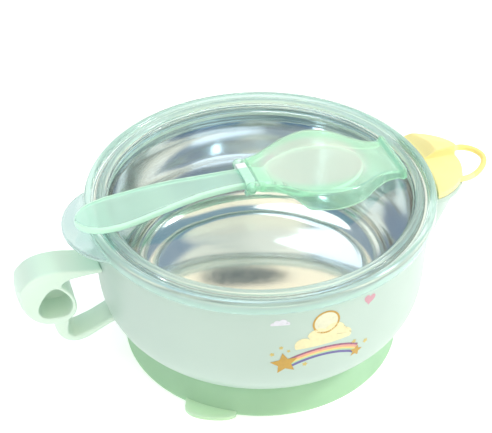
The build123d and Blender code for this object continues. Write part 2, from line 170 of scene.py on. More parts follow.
def along(knots, x):
    """Value at x of a smooth curve through (x, value) knots, held level past its ends."""
    if x <= knots[0][0]:
        return knots[0][1]
    if x >= knots[-1][0]:
        return knots[-1][1]
    for i in range(len(knots) - 1):
        x0, v0 = knots[i]
        x1, v1 = knots[i + 1]
        if x0 <= x <= x1:
            break
    t = (x - x0) / (x1 - x0)

    def slope(k):
        if k == 0 or k == len(knots) - 1:
            a, b = (k, k + 1) if k == 0 else (k - 1, k)
            return (knots[b][1] - knots[a][1]) / (knots[b][0] - knots[a][0])
        return (knots[k + 1][1] - knots[k - 1][1]) / (knots[k + 1][0] - knots[k - 1][0])

    m0 = slope(i) * (x1 - x0)
    m1 = slope(i + 1) * (x1 - x0)
    t2, t3 = t * t, t * t * t
    return (2 * t3 - 3 * t2 + 1) * v0 + (t3 - 2 * t2 + t) * m0 + (3 * t2 - 2 * t3) * v1 + (t3 - t2) * m1


def ease(t):
    """Smooth step from 0 to 1 while t goes from 0 to 1."""
    t = min(max(t, 0.0), 1.0)
    return t * t * (3 - 2 * t)


def smooth_max(a, b, width):
    """The larger of two values, with a soft change between them."""
    h = max(width - abs(a - b), 0.0) / width
    return max(a, b) + h * h * width / 4


def angles(count):
    """Evenly spaced angles of a full turn."""
    return [2 * pi * i / count for i in range(count)]


def circle(r, z, turn):
    """Ring of points about the axis, or the one point of a pole."""
    return [(0.0, 0.0, z)] if r < 1e-6 else [(r * cos(a), r * sin(a), z) for a in turn]


class Rings:
    """Rings of points round the axis, each with a slot, for grid()."""

    def __init__(self, turn):
        self.turn, self.rows, self.slots = turn, [], []

    def add(self, radius, height, slot=0):
        """One ring. Its radius and height are functions of the angle."""
        self.rows.append([(radius(a) * cos(a), radius(a) * sin(a), height(a)) for a in self.turn])
        self.slots.append(slot)

    def profile(self, points):
        """Round level rings from (r, z, slot) points."""
        for r, z, slot in points:
            self.rows.append(circle(r, z, self.turn))
            self.slots.append(slot)


def mixed(plain, special, share):
    """Function of the angle that goes from one value to another by a share of 0 to 1."""
    return lambda a: plain + (special - plain) * share(a)


def lathe(name, profile, materials=(), seg=256, closed=False, sharp=35.0):
    """Body of revolution from (r, z, slot) points."""
    rings = Rings(angles(seg))
    rings.profile(profile)
    return grid(name, rings.rows, materials, rings.slots, closed, sharp)


def apply_modifiers(obj):
    """Replaces the object's mesh by the result of its modifiers."""
    deps = bpy.context.evaluated_depsgraph_get()
    mesh = bpy.data.meshes.new_from_object(obj.evaluated_get(deps))
    old = obj.data
    obj.modifiers.clear()
    obj.data = mesh
    mesh.name = obj.name
    bpy.data.meshes.remove(old)


def softened_copy(name, node, voxel, rounds, material):
    """A new piece with a CAD node's form, its edges rounded as a mould rounds them."""
    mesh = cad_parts[node].data.copy()
    mesh.materials.clear()
    mesh.materials.append(material)
    obj = bpy.data.objects.new(name, mesh)
    scene.collection.objects.link(obj)
    work = bmesh.new()
    work.from_mesh(mesh)
    bmesh.ops.remove_doubles(work, verts=work.verts, dist=1e-6)
    work.to_mesh(mesh)
    work.free()
    remesh = obj.modifiers.new("remesh", "REMESH")
    remesh.mode = "VOXEL"
    remesh.voxel_size = voxel * MM
    remesh.use_smooth_shade = True
    smooth = obj.modifiers.new("smooth", "SMOOTH")
    smooth.factor = 0.5
    smooth.iterations = rounds
    apply_modifiers(obj)
    obj.data.materials.clear()
    obj.data.materials.append(material)
    shade_smooth(obj.data)
    return obj


def turned_about_z(obj, angle_deg):
    """Turns a piece's points about the Z axis, leaving its object at the origin."""
    c, s = cos(radians(angle_deg)), sin(radians(angle_deg))
    for v in obj.data.vertices:
        x, y = v.co.x, v.co.y
        v.co.x, v.co.y = c * x - s * y, s * x + c * y
    obj.data.update()


# ---------------------------------------------------------------- material helpers

PALE_AT, PALE_REACH, PALE_ABOVE = (23.0, 1.0), (22.5, 17.0), 75.3    # where the cover pales
BRUSH_STRETCH = 0.0035                    # metres of noise in a radian: small, so lines run round
WARM_REFLECTION_Z, COOL_REFLECTION_Z = 22.0, 40.0    # heights between which the steel's colour goes from the warm floor to the cool wall: a painted reflection
INK_DEPTH = 1.4


class Nodes:
    """Short calls that add nodes to one tree."""

    def __init__(self, tree):
        self.tree = tree

    def add(self, kind, **values):
        node = self.tree.nodes.new(kind)
        for key, value in values.items():
            setattr(node, key, value)
        return node

    def link(self, a, b):
        self.tree.links.new(a, b)

    def position(self, kind="Object"):
        return self.add("ShaderNodeTexCoord").outputs[kind]

    def split(self, vector):
        """The x, y and z of a vector."""
        node = self.add("ShaderNodeSeparateXYZ")
        self.link(vector, node.inputs[0])
        return node.outputs

    def math(self, operation, a, b=0.0, clamp=False):
        node = self.add("ShaderNodeMath", operation=operation, use_clamp=clamp)
        for socket, value in zip(node.inputs, (a, b)):
            if isinstance(value, (int, float)):
                socket.default_value = value
            else:
                self.link(value, socket)
        return node.outputs[0]

    def noise(self, scale, detail=3.0, rough=0.5, vector=None):
        node = self.add("ShaderNodeTexNoise")
        node.inputs["Scale"].default_value = scale
        node.inputs["Detail"].default_value = detail
        node.inputs["Roughness"].default_value = rough
        self.link(vector or self.position(), node.inputs["Vector"])
        return node.outputs["Fac"]

    def ramp(self, factor, stops):
        node = self.add("ShaderNodeValToRGB")
        elements = node.color_ramp.elements
        while len(elements) < len(stops):
            elements.new(0.5)
        for element, (place, colour) in zip(elements, stops):
            element.position = place
            element.color = (*colour, 1.0)
        self.link(factor, node.inputs["Fac"])
        return node.outputs["Color"]

    def spread(self, factor, low, high, from_low=0.3, from_high=0.7):
        node = self.add("ShaderNodeMapRange")
        for key, value in zip(("From Min", "From Max", "To Min", "To Max"),
                              (from_low, from_high, low, high)):
            node.inputs[key].default_value = value
        self.link(factor, node.inputs["Value"])
        return node.outputs["Result"]

    def bump(self, height, strength, distance_mm, normal=None):
        node = self.add("ShaderNodeBump")
        node.inputs["Strength"].default_value = strength
        node.inputs["Distance"].default_value = distance_mm * MM
        self.link(height, node.inputs["Height"])
        if normal:
            self.link(normal, node.inputs["Normal"])
        return node.outputs["Normal"]


class Shader(Nodes):
    """A material with a Principled BSDF."""

    def __init__(self, name, **values):
        self.mat = bpy.data.materials.new(name)
        self.mat.use_nodes = True
        super().__init__(self.mat.node_tree)
        self.out = self.tree.nodes["Material Output"]
        self.bsdf = self.tree.nodes["Principled BSDF"]
        for key, value in values.items():
            self.bsdf.inputs[key.replace("_", " ")].default_value = value

    def set(self, key, source):
        self.link(source, self.bsdf.inputs[key])

    def let_lamps_through(self, colour):
        """Clear plastic casts only a pale shadow: light and soft light pass it unbent."""
        path = self.add("ShaderNodeLightPath")
        either = self.math("MAXIMUM", path.outputs["Is Shadow Ray"], path.outputs["Is Diffuse Ray"])
        clear = self.add("ShaderNodeBsdfTransparent")
        clear.inputs["Color"].default_value = (*colour, 1.0)
        mix = self.add("ShaderNodeMixShader")
        self.link(either, mix.inputs["Fac"])
        self.link(self.bsdf.outputs["BSDF"], mix.inputs[1])
        self.link(clear.outputs["BSDF"], mix.inputs[2])
        self.link(mix.outputs["Shader"], self.out.inputs["Surface"])


def moulded_plastic(name, low, high, rough=0.34):
    """Satin moulded plastic: faint cloudiness in the colour, fine orange-peel and handling marks."""
    sh = Shader(name, IOR=1.45)
    cloud = sh.noise(30.0, 3.0)
    sh.set("Base Color", sh.ramp(cloud, [(0.3, low), (0.7, high)]))
    smear = sh.noise(70.0, 5.0, 0.6)
    sh.set("Roughness", sh.spread(smear, rough - 0.04, rough + 0.05))
    peel = sh.noise(520.0, 2.0)
    sh.set("Normal", sh.bump(peel, 0.05, 0.03))
    sh.bsdf.inputs["Subsurface Weight"].default_value = 0.10
    sh.bsdf.inputs["Subsurface Radius"].default_value = (1.0, 1.0, 0.9)
    sh.bsdf.inputs["Subsurface Scale"].default_value = 0.002
    return sh.mat


def silicone(name, low, high):
    """Soft moulded rubber: satin, fine dusty grain, light carried a little way inside."""
    sh = Shader(name, IOR=1.42, Sheen_Weight=0.12, Sheen_Roughness=0.5)
    cloud = sh.noise(45.0, 4.0)
    sh.set("Base Color", sh.ramp(cloud, [(0.3, low), (0.7, high)]))
    dust = sh.noise(320.0, 5.0, 0.65)
    sh.set("Roughness", sh.spread(dust, 0.35, 0.52))
    grain = sh.noise(1500.0, 2.0)
    sh.set("Normal", sh.bump(grain, 0.16, 0.04))
    sh.bsdf.inputs["Subsurface Weight"].default_value = 0.3
    sh.bsdf.inputs["Subsurface Radius"].default_value = (1.0, 1.0, 0.7)
    sh.bsdf.inputs["Subsurface Scale"].default_value = 0.003
    return sh.mat


def even_tint(sh, tint):
    """One tint, very slightly cloudy."""
    dim = tuple(c * 0.985 for c in tint)
    return sh.ramp(sh.noise(60.0, 3.0), [(0.3, dim), (0.7, tint)])


def pale_middle(sh, tints):
    """A border tint that gives way to a middle tint over the spoon's bowl."""
    border, middle = tints
    x, y, z = sh.split(sh.position())
    across = sh.math("DIVIDE", sh.math("SUBTRACT", x, PALE_AT[0] * MM), PALE_REACH[0] * MM)
    up = sh.math("DIVIDE", sh.math("SUBTRACT", y, PALE_AT[1] * MM), PALE_REACH[1] * MM)
    away = sh.math("ADD", sh.math("MULTIPLY", across, across), sh.math("MULTIPLY", up, up))
    high = sh.math("GREATER_THAN", z, PALE_ABOVE * MM)
    inside = sh.math("MULTIPLY", high, sh.spread(away, 1.0, 0.0, 0.70, 1.15), clamp=True)
    cloud = sh.spread(sh.noise(60.0, 3.0), -0.06, 0.06)
    return sh.ramp(sh.math("ADD", inside, cloud), [(0.05, border), (0.95, middle)])


def clear_plastic(name, tint, shadow_tint, rough, clearness, grain=0.03, paint=even_tint):
    """See-through moulded plastic with faint flow lines. paint(shader, tint) gives its colour."""
    sh = Shader(name, IOR=1.46, Transmission_Weight=clearness)
    sh.set("Base Color", paint(sh, tint))
    smear = sh.noise(130.0, 5.0, 0.6)
    sh.set("Roughness", sh.spread(smear, max(rough - 0.02, 0.0), rough + 0.03))
    flow = sh.noise(260.0, 2.0)
    sh.set("Normal", sh.bump(flow, grain, 0.05))
    sh.let_lamps_through(shadow_tint)
    return sh.mat


def steel():
    """Bright steel with fine circular brushing round the bowl's axis, its colour a painted reflection:
    warm floor, cooler wall.
    """
    sh = Shader("liner_steel", Metallic=1.0, Anisotropic=0.12)
    x, y, z = sh.split(sh.position())
    radius = sh.math("SQRT", sh.math("ADD", sh.math("MULTIPLY", x, x), sh.math("MULTIPLY", y, y)))
    around = sh.math("MULTIPLY", sh.math("ARCTAN2", y, x), BRUSH_STRETCH)
    join = sh.add("ShaderNodeCombineXYZ")
    sh.link(radius, join.inputs[0])
    sh.link(around, join.inputs[1])
    sh.link(z, join.inputs[2])
    lines = sh.noise(1800.0, 3.0, 0.6, join.outputs[0])
    broad = sh.noise(420.0, 3.0, 0.6, join.outputs[0])
    sh.set("Roughness", sh.spread(broad, 0.07, 0.11))
    # painted reflection: the steel's colour goes from warm on the floor to cool blue up the wall
    height = sh.spread(z, 0.0, 0.9, WARM_REFLECTION_Z * MM, COOL_REFLECTION_Z * MM)
    shade = sh.math("ADD", height, sh.spread(broad, 0.0, 0.1))
    sh.set("Base Color", sh.ramp(shade, [(0.0, (0.83, 0.83, 0.80)), (1.0, (0.71, 0.82, 0.92))]))
    dents = sh.noise(16.0, 1.0)
    soft = sh.bump(dents, 0.06, 1.2)
    sh.set("Normal", sh.bump(lines, 0.006, 0.02, soft))
    tangent = sh.add("ShaderNodeTangent", direction_type="RADIAL", axis="Z")
    sh.link(tangent.outputs[0], sh.bsdf.inputs["Tangent"])
    return sh.mat


def ink(name, colour):
    """Printed ink: flat deep colour with a slightly uneven lay-down."""
    sh = Shader(name, IOR=1.5, Coat_Weight=0.2, Coat_Roughness=0.1)
    speck = sh.noise(500.0, 4.0)
    colour = tuple(c ** INK_DEPTH for c in colour)
    dim = tuple(c * 0.92 for c in colour)
    sh.set("Base Color", sh.ramp(speck, [(0.35, dim), (0.6, colour)]))
    sh.set("Roughness", sh.spread(sh.noise(220.0), 0.26, 0.36))
    return sh.mat


SHELL_MAT = moulded_plastic("shell_mint", (0.475, 0.60, 0.540), (0.495, 0.625, 0.560))
HANDLE_MAT = moulded_plastic("handle_mint", (0.68, 0.85, 0.74), (0.71, 0.88, 0.77))
STEEL_MAT = steel()
LID_CLEAR = clear_plastic("lid_clear", (0.97, 0.995, 0.985), (0.92, 0.97, 0.95), 0.02, 1.0, 0.008)
LID_EDGE = clear_plastic("lid_edge", (0.64, 0.82, 0.77), (0.82, 0.94, 0.89), 0.12, 0.66, 0.005)
LID_WALL = clear_plastic("lid_wall", (0.88, 0.95, 0.93), (0.92, 0.97, 0.95), 0.02, 0.90, 0.004)
LID_TAB = clear_plastic("lid_tab", (0.68, 0.76, 0.79), (0.84, 0.91, 0.91), 0.12, 0.74)
SPOON_MAT = clear_plastic("spoon_mint", (0.66, 0.90, 0.81), (0.80, 0.94, 0.88), 0.20, 0.66)
# lighter, less clear copy of the spoon's plastic for its rim: a painted highlight
SPOON_RIM_HIGHLIGHT = clear_plastic("spoon_rim_highlight", (0.66, 0.98, 0.80), (0.88, 0.97, 0.92), 0.20, 0.20)
COVER_MAT = clear_plastic("cover_mint", ((0.70, 1.0, 0.83), (0.90, 0.94, 0.90)),
                          (0.90, 0.98, 0.93), 0.09, 0.76, 0.02, pale_middle)
SPOON_BOWL = clear_plastic("spoon_bowl", (0.60, 0.76, 0.68), (0.90, 0.96, 0.93), 0.34, 0.72)
CLIP_TINT = moulded_plastic("clip_mint", (0.46, 0.80, 0.63), (0.52, 0.84, 0.68), 0.26)
CLIP_MAT = moulded_plastic("clip_white", (0.82, 0.89, 0.89), (0.88, 0.94, 0.94), 0.26)
PLUG_MAT = silicone("plug_yellow", (0.96, 0.79, 0.34), (1.0, 0.85, 0.40))
# deeper yellow copy of the plug's silicone for the pull loop: painted shade
LOOP_SHADE_MAT = silicone("plug_loop_shaded_yellow", (0.95, 0.74, 0.25), (0.98, 0.79, 0.30))
CUP_MAT = silicone("cup_green", (0.37, 0.61, 0.40), (0.42, 0.67, 0.45))
# the flap is the cup's own silicone; its much lighter green is painted light
FLAP_LIT_MAT = silicone("cup_flap_lit_green", (0.62, 0.88, 0.62), (0.67, 0.92, 0.67))
SEAL_MAT = silicone("seal_milky", (0.72, 0.84, 0.80), (0.80, 0.90, 0.86))


# ---------------------------------------------------------------- suction cup and flap

CUP_TOP = CUP_HIGH.z
CUP_R = CUP_HIGH.x
FLAP_YAW = 233.0


def build_cup():
    """Soft cup with its rim, its flare and the groove that grips the ring under the shell."""
    groove_in, groove_out, groove_z = 43.43, 46.07, 8.0
    profile = rounded([
        (0.0, 3.4, 0), (30.0, 2.4, 8), (51.0, 0.15, 2), (52.6, 0.0, 0.5), (CUP_R - 0.7, 0.0, 0.7),
        (CUP_R, 0.85, 0.8), (CUP_R - 0.9, 2.1, 1.2), (54.6, 5.4, 3), (52.5, 9.6, 2.5),
        (50.8, CUP_TOP, 0.9), (groove_out, CUP_TOP, 0.3), (groove_out, groove_z, 0.3),
        (groove_in, groove_z, 0.3), (groove_in, CUP_TOP, 0.3), (40.0, CUP_TOP, 0.6),
        (36.0, 6.2, 1.5), (0.0, 6.2, 0),
    ], 5)
    cup = lathe("suction_cup_soft", profile, (CUP_MAT,), 240)
    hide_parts("suction_cup")
    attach(cup, "suction_base")


def slab_from_outline(name, outline, z_low, z_high, radius, material, steps=4):
    """Flat piece with all its edges rounded, from a plan outline running anticlockwise."""
    count = len(outline)
    normals = []
    for i in range(count):
        before, after = Vector(outline[i - 1]), Vector(outline[(i + 1) % count])
        t = (after - before).normalized()
        normals.append(Vector((t.y, -t.x)))
    rows = []
    centre = sum((Vector(p) for p in outline), Vector((0, 0))) / count
    levels = []
    for s in range(steps + 1):
        a = pi / 2 * s / steps
        levels.append((radius * (1 - sin(a)), z_low + radius * (1 - cos(a))))
    for s in range(steps + 1):
        a = pi / 2 * s / steps
        levels.append((radius * (1 - cos(a)), z_high - radius * (1 - sin(a))))
    rows.append([(centre.x, centre.y, z_low)])
    for inset, z in levels:
        rows.append([(p[0] - n.x * inset, p[1] - n.y * inset, z) for p, n in zip(outline, normals)])
    rows.append([(centre.x, centre.y, z_high)])
    return grid(name, rows, (material,))


def build_tab():
    """The cup's release flap, drawn from inside the cup's rim so that the two run together. Its lighter
    green is painted light.
    """
    root, half = 58.0, 10.0
    knots = [
        (root - 2.6, half - 1.5), (root - 2.6, -half + 0.8), (root + 0.4, -half + 0.2),
        (root + 2.8, -half + 1.0), (root + 4.4, -half + 3.6), (root + 4.7, -2.6),
        (root + 3.7, 2.8), (root + 1.6, half - 2.2), (root - 0.8, half - 0.2),
    ]
    ring = [tuple(p) for p in smooth_curve(knots + [knots[0]], 72)][:-1]
    ring.reverse()
    tab = slab_from_outline("release_flap_soft", ring, 0.3, 1.9, 0.75, FLAP_LIT_MAT)
    finish_shading(tab.data, 60)
    turned_about_z(tab, FLAP_YAW)
    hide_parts("release_tab")
    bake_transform(tab)


# ---------------------------------------------------------------- outer shell

SPOUT_X = 64.0
SPOUT_TOP = 65.0
SPOUT_R = 21.9        # at the spout's lip
CHAMBER_R = 17.2      # inside the spout
HOLE_X, HOLE_R = 75.9, 4.2
MOUTH_R = 65.6
SHELL_R = 67.5
# Radius of the shell's side, and of the spout's circle, by height: (z, radius).
SHELL_SIDE = [
    (12.5, 52.6), (15.2, 56.2), (19.2, 61.0), (25.0, 64.8), (32.0, 66.6), (42.0, 67.2),
    (56.0, SHELL_R), (SHELL_HIGH.z, SHELL_R),
]
SPOUT_SIDE = [
    (22.5, 0.0), (24.6, 4.4), (29.5, 8.4), (36.5, 11.6), (45.0, 14.4), (54.0, 17.4), (60.0, 19.2),
    (61.6, 20.0), (62.7, 21.5), (63.3, SPOUT_R), (64.3, SPOUT_R), (64.8, 21.6), (SPOUT_TOP, 21.0),
]


def far_side(centre, radius, angle):
    """Distance from the axis to the far side of a circle about (centre, 0), or -1000 if missed."""
    side = centre * sin(angle)
    if radius <= 0 or abs(side) >= radius or cos(angle) < 0:
        return -1e3
    return centre * cos(angle) + sqrt(radius * radius - side * side)


def spout_reach(angle, radius):
    return far_side(SPOUT_X, radius, angle)


def spout_here(angle):
    """1 where the spout's lip is, 0 elsewhere."""
    return ease((spout_reach(angle, SPOUT_R) - SHELL_R) / 1.5)


def chamber_here(angle):
    """1 where the spout's inside is, 0 elsewhere."""
    return ease((spout_reach(angle, CHAMBER_R) - MOUTH_R) / 1.5)


def shell_outside(rings):
    """Underside, the ring that the cup grips, and the side with the spout run softly into it."""
    foot = rounded([(20.0, 12.0, 0), (43.5, 12.0, 0.3), (43.5, 8.2, 0.4), (46.0, 8.2, 0.4),
                    (46.0, 12.0, 0.3), (50.9, 12.0, 0)], 3)
    rings.profile([(0.0, 12.0, 0)] + foot + [(51.9, 12.1, 0)])
    heights = [12.5 + (60.0 - 12.5) * (i / 44) ** 1.25 for i in range(45)]
    heights += [60.6, 61.1, 61.6, 62.0, 62.4, 62.8, 63.2, 63.6, 64.0, 64.35]
    for z in heights:
        base, spout = along(SHELL_SIDE, z), along(SPOUT_SIDE, z)
        rings.add(lambda a: smooth_max(base, spout_reach(a, spout), 2.2), lambda a: z)


def shell_top(rings):
    """The spout's flat top, run into the side, and the rim of the mouth."""
    def lip(radius):
        return lambda a: max(SHELL_R, spout_reach(a, radius))

    rings.add(lip(21.75), mixed(64.55, 64.7, spout_here))
    rings.add(lip(21.45), mixed(64.75, 64.93, spout_here))
    rings.add(lip(21.0), mixed(64.95, SPOUT_TOP, spout_here))
    rings.add(lambda a: SHELL_R + (lip(21.0)(a) - SHELL_R) * 0.5, mixed(65.1, SPOUT_TOP, spout_here))
    rings.add(lambda a: SHELL_R + 0.25 * spout_here(a), mixed(65.25, SPOUT_TOP, spout_here))
    rings.add(lambda a: SHELL_R + 0.05 * spout_here(a), mixed(65.4, 65.12, spout_here))
    rim = rounded([(SHELL_R, 65.9, 0), (SHELL_R, SHELL_HIGH.z, 0.6), (MOUTH_R, SHELL_HIGH.z, 0.4),
                   (MOUTH_R, 65.9, 0)], 3)
    rings.profile([(SHELL_R, 65.6, 0)] + rim)


def shell_inside(rings):
    """The mouth, the roof of the spout's chamber, the wall's inner face and the floor."""
    rings.add(lambda a: MOUTH_R, mixed(65.0, 63.3, chamber_here))
    rings.add(lambda a: MOUTH_R + 0.3 * chamber_here(a), mixed(64.2, 63.0, chamber_here))
    rings.add(lambda a: max(MOUTH_R, spout_reach(a, 16.8)), mixed(63.5, 63.0, chamber_here))
    wall = [(14.2, 50.0), (16.0, 54.0), (19.8, 58.6), (25.4, 62.6), (32.1, 64.4), (42.0, 65.0),
            (56.0, MOUTH_R), (66.0, MOUTH_R)]
    chamber = [(24.7, 0.0), (29.5, 6.2), (36.5, 9.4), (45.0, 12.2), (54.0, 15.2), (63.0, CHAMBER_R)]
    for z in (62.6, 61.0, 58.0, 54.0, 49.0, 44.0, 39.0, 34.0, 30.0, 27.0, 24.0, 21.0, 18.5, 16.5, 15.0):
        base, spout = min(along(wall, z), MOUTH_R), along(chamber, z)
        rings.add(lambda a: max(base, spout_reach(a, spout)), lambda a: z)
    rings.profile([(49.6, 14.2, 0), (30.0, 14.2, 0), (0.0, 14.2, 0)])


def drill_fill_hole(shell):
    """Round hole through the roof of the spout's chamber."""
    drill = lathe("hole_cutter", [(0, 58.0, 0), (HOLE_R, 58.0, 0), (HOLE_R, 68.0, 0), (0, 68.0, 0)],
                  seg=48)
    drill.location.x = HOLE_X * MM
    cut = shell.modifiers.new("fill_hole", "BOOLEAN")
    cut.operation = "DIFFERENCE"
    cut.solver = "EXACT"
    cut.object = drill
    bpy.context.view_layer.update()
    apply_modifiers(shell)
    bpy.data.objects.remove(drill)


def build_shell():
    """Shell, open inside, with rings of points that are closer together at the spout."""
    near = [radians(-26 + 0.4 * i) for i in range(131)]
    far = [radians(26 + 1.4 * i) for i in range(1, 220)]
    rings = Rings(near + [a for a in far if a < 2 * pi - radians(26.5)])
    shell_outside(rings)
    shell_top(rings)
    shell_inside(rings)
    shell = grid("shell_body", rings.rows, (SHELL_MAT,), sharp=38)
    drill_fill_hole(shell)
    finish_shading(shell.data, 38)
    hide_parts("outer_shell")
    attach(shell, "shell")


def build_handle():
    """Rolled handle, its edges eased."""
    handle = softened_copy("handle_curl", "handle", 0.32, 10, HANDLE_MAT)
    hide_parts("handle")
    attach(handle, "shell")


# ---------------------------------------------------------------- liner and seals

def build_liner():
    """Steel bowl of one sheet thickness with a beaded rim."""
    sheet = 0.7
    floor_z, rim_z = LINER_LOW.z + sheet, LINER_HIGH.z
    fillet_x, fillet_r, wall_r = 46.0, 13.0, 59.0
    bead_x, bead_r = 66.35, 0.62
    inner = [(0.0, floor_z, 0), (20.0, floor_z, 0), (38.0, floor_z, 0)]
    for i in range(17):
        a = pi / 2 * i / 16
        inner.append((fillet_x + fillet_r * sin(a), floor_z + fillet_r * (1 - cos(a)), 0))
    wall = [(floor_z + fillet_r, wall_r), (42.0, 60.8), (50.0, 62.8), (58.0, 64.0), (66.0, 64.0)]
    for z in (35, 38, 41, 44, 47, 50, 53, 56, 58, 61, 64, 66.2):
        inner.append((along(wall, z), z, 0))
    inner += [(64.12, 66.9, 0), (64.45, 67.45, 0), (64.95, 67.74, 0), (65.5, rim_z, 0)]
    bead = []
    for i in range(13):
        a = pi / 2 - pi * 1.25 * i / 12
        bead.append((bead_x + bead_r * cos(a), rim_z - bead_r + bead_r * sin(a), 0))
    under = [(65.9, 67.05, 0), (65.3, 67.02, 0), (64.95, 66.7, 0), (64.75, 66.0, 0)]
    outer = []
    for z in (64, 61, 58, 56, 53, 50, 47, 44, 41, 38, 35):
        outer.append((along(wall, z) + sheet, z, 0))
    for i in range(17):
        a = pi / 2 * (16 - i) / 16
        outer.append((fillet_x + (fillet_r + sheet) * sin(a),
                      floor_z - sheet + (fillet_r + sheet) * (1 - cos(a)), 0))
    outer += [(30.0, floor_z - sheet, 0), (0.0, floor_z - sheet, 0)]
    liner = lathe("liner_steel_bowl", inner + bead + under + outer, (STEEL_MAT,), 320, sharp=50)
    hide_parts("liner_bowl")
    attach(liner, "liner")


def build_liner_seal():
    """Seal under the liner's rim, with two lips that press on the shell's mouth."""
    inner_r, body_r, lip_r = 64.75, 65.1, 65.5
    seal = lathe("liner_seal_soft", rounded([
        (inner_r, 60.5, 0), (body_r, 60.5, 0.15), (body_r, 61.0, 0.1), (lip_r, 61.2, 0.3),
        (lip_r, 61.8, 0.3), (body_r, 62.0, 0.1), (body_r, 63.4, 0.1), (lip_r, 63.6, 0.3),
        (lip_r, 64.2, 0.3), (body_r, 64.4, 0.1), (body_r, 66.62, 0.1), (66.8, 66.66, 0.15),
        (66.85, 66.95, 0.15), (65.6, 67.0, 0.1), (inner_r, 66.6, 0),
    ], 3), (SEAL_MAT,), 200, closed=True)
    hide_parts("liner_seal")
    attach(seal, "liner")


# ---------------------------------------------------------------- lid

LID_R = LID_HIGH.y
SKIRT_LOW = 65.8
TAB_CENTRE, TAB_R = 54.1, 26.0
CLEAR, EDGE, TAB, WALL = range(4)    # the lid's material slots


def tab_reach(angle):
    """Distance from the axis to the far side of the lift tab, or -1000 beside it."""
    return far_side(TAB_CENTRE, TAB_R, angle - pi)


def tab_here(angle):
    """1 where the lift tab is, 0 elsewhere."""
    return ease((tab_reach(angle) - LID_R) / 1.6)


def lid_outside(rings):
    """The plate, the inner bead of two ridges, the band beside it and the raised rim."""
    plate, top, band, rim = 69.3, LID_HIGH.z, 69.8, 71.0
    rings.profile(rounded([
        (0.0, plate, 0, CLEAR), (30.0, plate, 0, CLEAR), (60.9, plate, 0.5, CLEAR),
        (61.7, 70.8, 0.5, EDGE), (62.2, top - 0.05, 0.35, EDGE), (62.75, top, 0.2, EDGE),
        (62.95, top - 0.28, 0.12, EDGE), (63.15, top - 0.28, 0.12, EDGE), (63.35, top, 0.2, EDGE),
        (63.9, top - 0.05, 0.35, EDGE), (64.35, 70.9, 0.4, EDGE), (64.8, band, 0.4, CLEAR),
        (67.0, band, 0.4, CLEAR), (67.7, 70.75, 0.4, EDGE), (68.3, rim, 0.35, EDGE),
        (69.4, rim, 0.5, EDGE), (LID_R, 70.1, 0.7, EDGE), (LID_R, 69.0, 0, EDGE),
        (LID_R, 68.0, 0, EDGE),
    ], 4))


def lid_tab(rings):
    """The skirt's side, with the lift tab grown out of it."""
    rings.add(lambda a: LID_R + 0.25 * tab_here(a), lambda a: 67.75 - 0.05 * tab_here(a), TAB)
    side = [
        (2.2, 67.5, 67.45), (1.5, 67.35, 67.6), (0.5, 67.2, 67.6), (0.12, 67.0, 67.45),
        (0.0, 66.8, 67.15), (0.0, 66.5, 66.3), (0.12, 66.2, 65.97), (0.5, 66.0, SKIRT_LOW),
    ]
    for back, z_plain, z_tab in side:
        rings.add(lambda a: max(LID_R, tab_reach(a) - back), mixed(z_plain, z_tab, tab_here), TAB)


def lid_inside(rings):
    """The skirt's lower edge and inside, the plug wall with its seal's groove, and the underside."""
    under = 67.7
    rings.profile([(LID_R - 0.25, SKIRT_LOW, EDGE)] + rounded([
        (LID_R - 0.3, SKIRT_LOW, 0, EDGE), (LID_R - 1.6, SKIRT_LOW, 0.3, EDGE),
        (LID_R - 1.7, 67.95, 0.4, CLEAR), (66.0, 67.95, 0, CLEAR), (63.3, 67.95, 0.3, WALL),
        (63.3, 65.6, 0.1, WALL), (62.7, 65.4, 0.1, WALL), (62.7, 64.2, 0.1, WALL),
        (63.3, 64.0, 0.1, WALL), (63.3, 61.5, 0.4, WALL), (61.8, 61.5, 0.4, WALL),
        (61.8, under, 0.8, CLEAR), (30.0, under, 0, CLEAR), (0.0, under, 0, CLEAR),
    ], 4))


def build_lid():
    """Lid with its lift tab. The tab's root and lower edge are tinted like the other edges."""
    rings = Rings(angles(360))
    lid_outside(rings)
    lid_tab(rings)
    lid_inside(rings)
    lid = grid("lid_clear_cover", rings.rows, (LID_CLEAR, LID_EDGE, LID_TAB, LID_WALL), rings.slots,
               sharp=42)
    for face in lid.data.polygons:
        x, y, z = face.center / MM
        if face.material_index == TAB and (x * x + y * y < (LID_R + 0.6) ** 2 or z < 67.0):
            face.material_index = EDGE
    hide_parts("lid")
    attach(lid, "lid")


def build_lid_seal():
    """Seal in the groove of the lid's plug wall."""
    seal = lathe("lid_seal_soft", rounded([
        (62.75, 64.3, 0), (62.75, 65.3, 0.1), (63.35, 65.45, 0.2), (63.93, 64.8, 0.5),
        (63.35, 64.15, 0.2),
    ], 3), (SEAL_MAT,), 200, closed=True)
    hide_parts("lid_seal")
    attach(seal, "lid")


# ---------------------------------------------------------------- spoon, clip and cover

SPOON_YAW = 2.5
BOWL_X, BOWL_L, BOWL_W, BOWL_RIM = 22.4, 20.6, 15.8, 74.6
HOLLOW_L, HOLLOW_W, HOLLOW_DEEP = 19.3, 14.4, 3.5
BAR_END, BAR_THICK, BOWL_THICK = -75.6, 3.4, 1.7
RECESS_FROM, RECESS_TO, RECESS_DEEP = -72.5, -12.0, 0.45
# Half width of the spoon's handle, and height of the spoon's top, along the spoon: (x, value).
BAR_HALF = [(BAR_END, 0.0), (-74.6, 3.1), (-72.6, 6.0), (-69.0, 8.5), (-63.0, 10.0), (-57.0, 10.2),
            (-42.0, 8.8), (-27.0, 6.7), (-15.0, 5.8), (-6.5, 5.6), (2.0, 5.6), (10.0, 5.6)]
BAR_TOP = [(-79.0, 74.3), (BAR_END, 74.45), (-57.0, 75.7), (-42.0, 77.8), (-27.0, 79.1), (-6.5, 78.9),
           (0.0, 77.2), (5.0, 75.6), (10.0, BOWL_RIM + 0.15), (18.0, BOWL_RIM)]


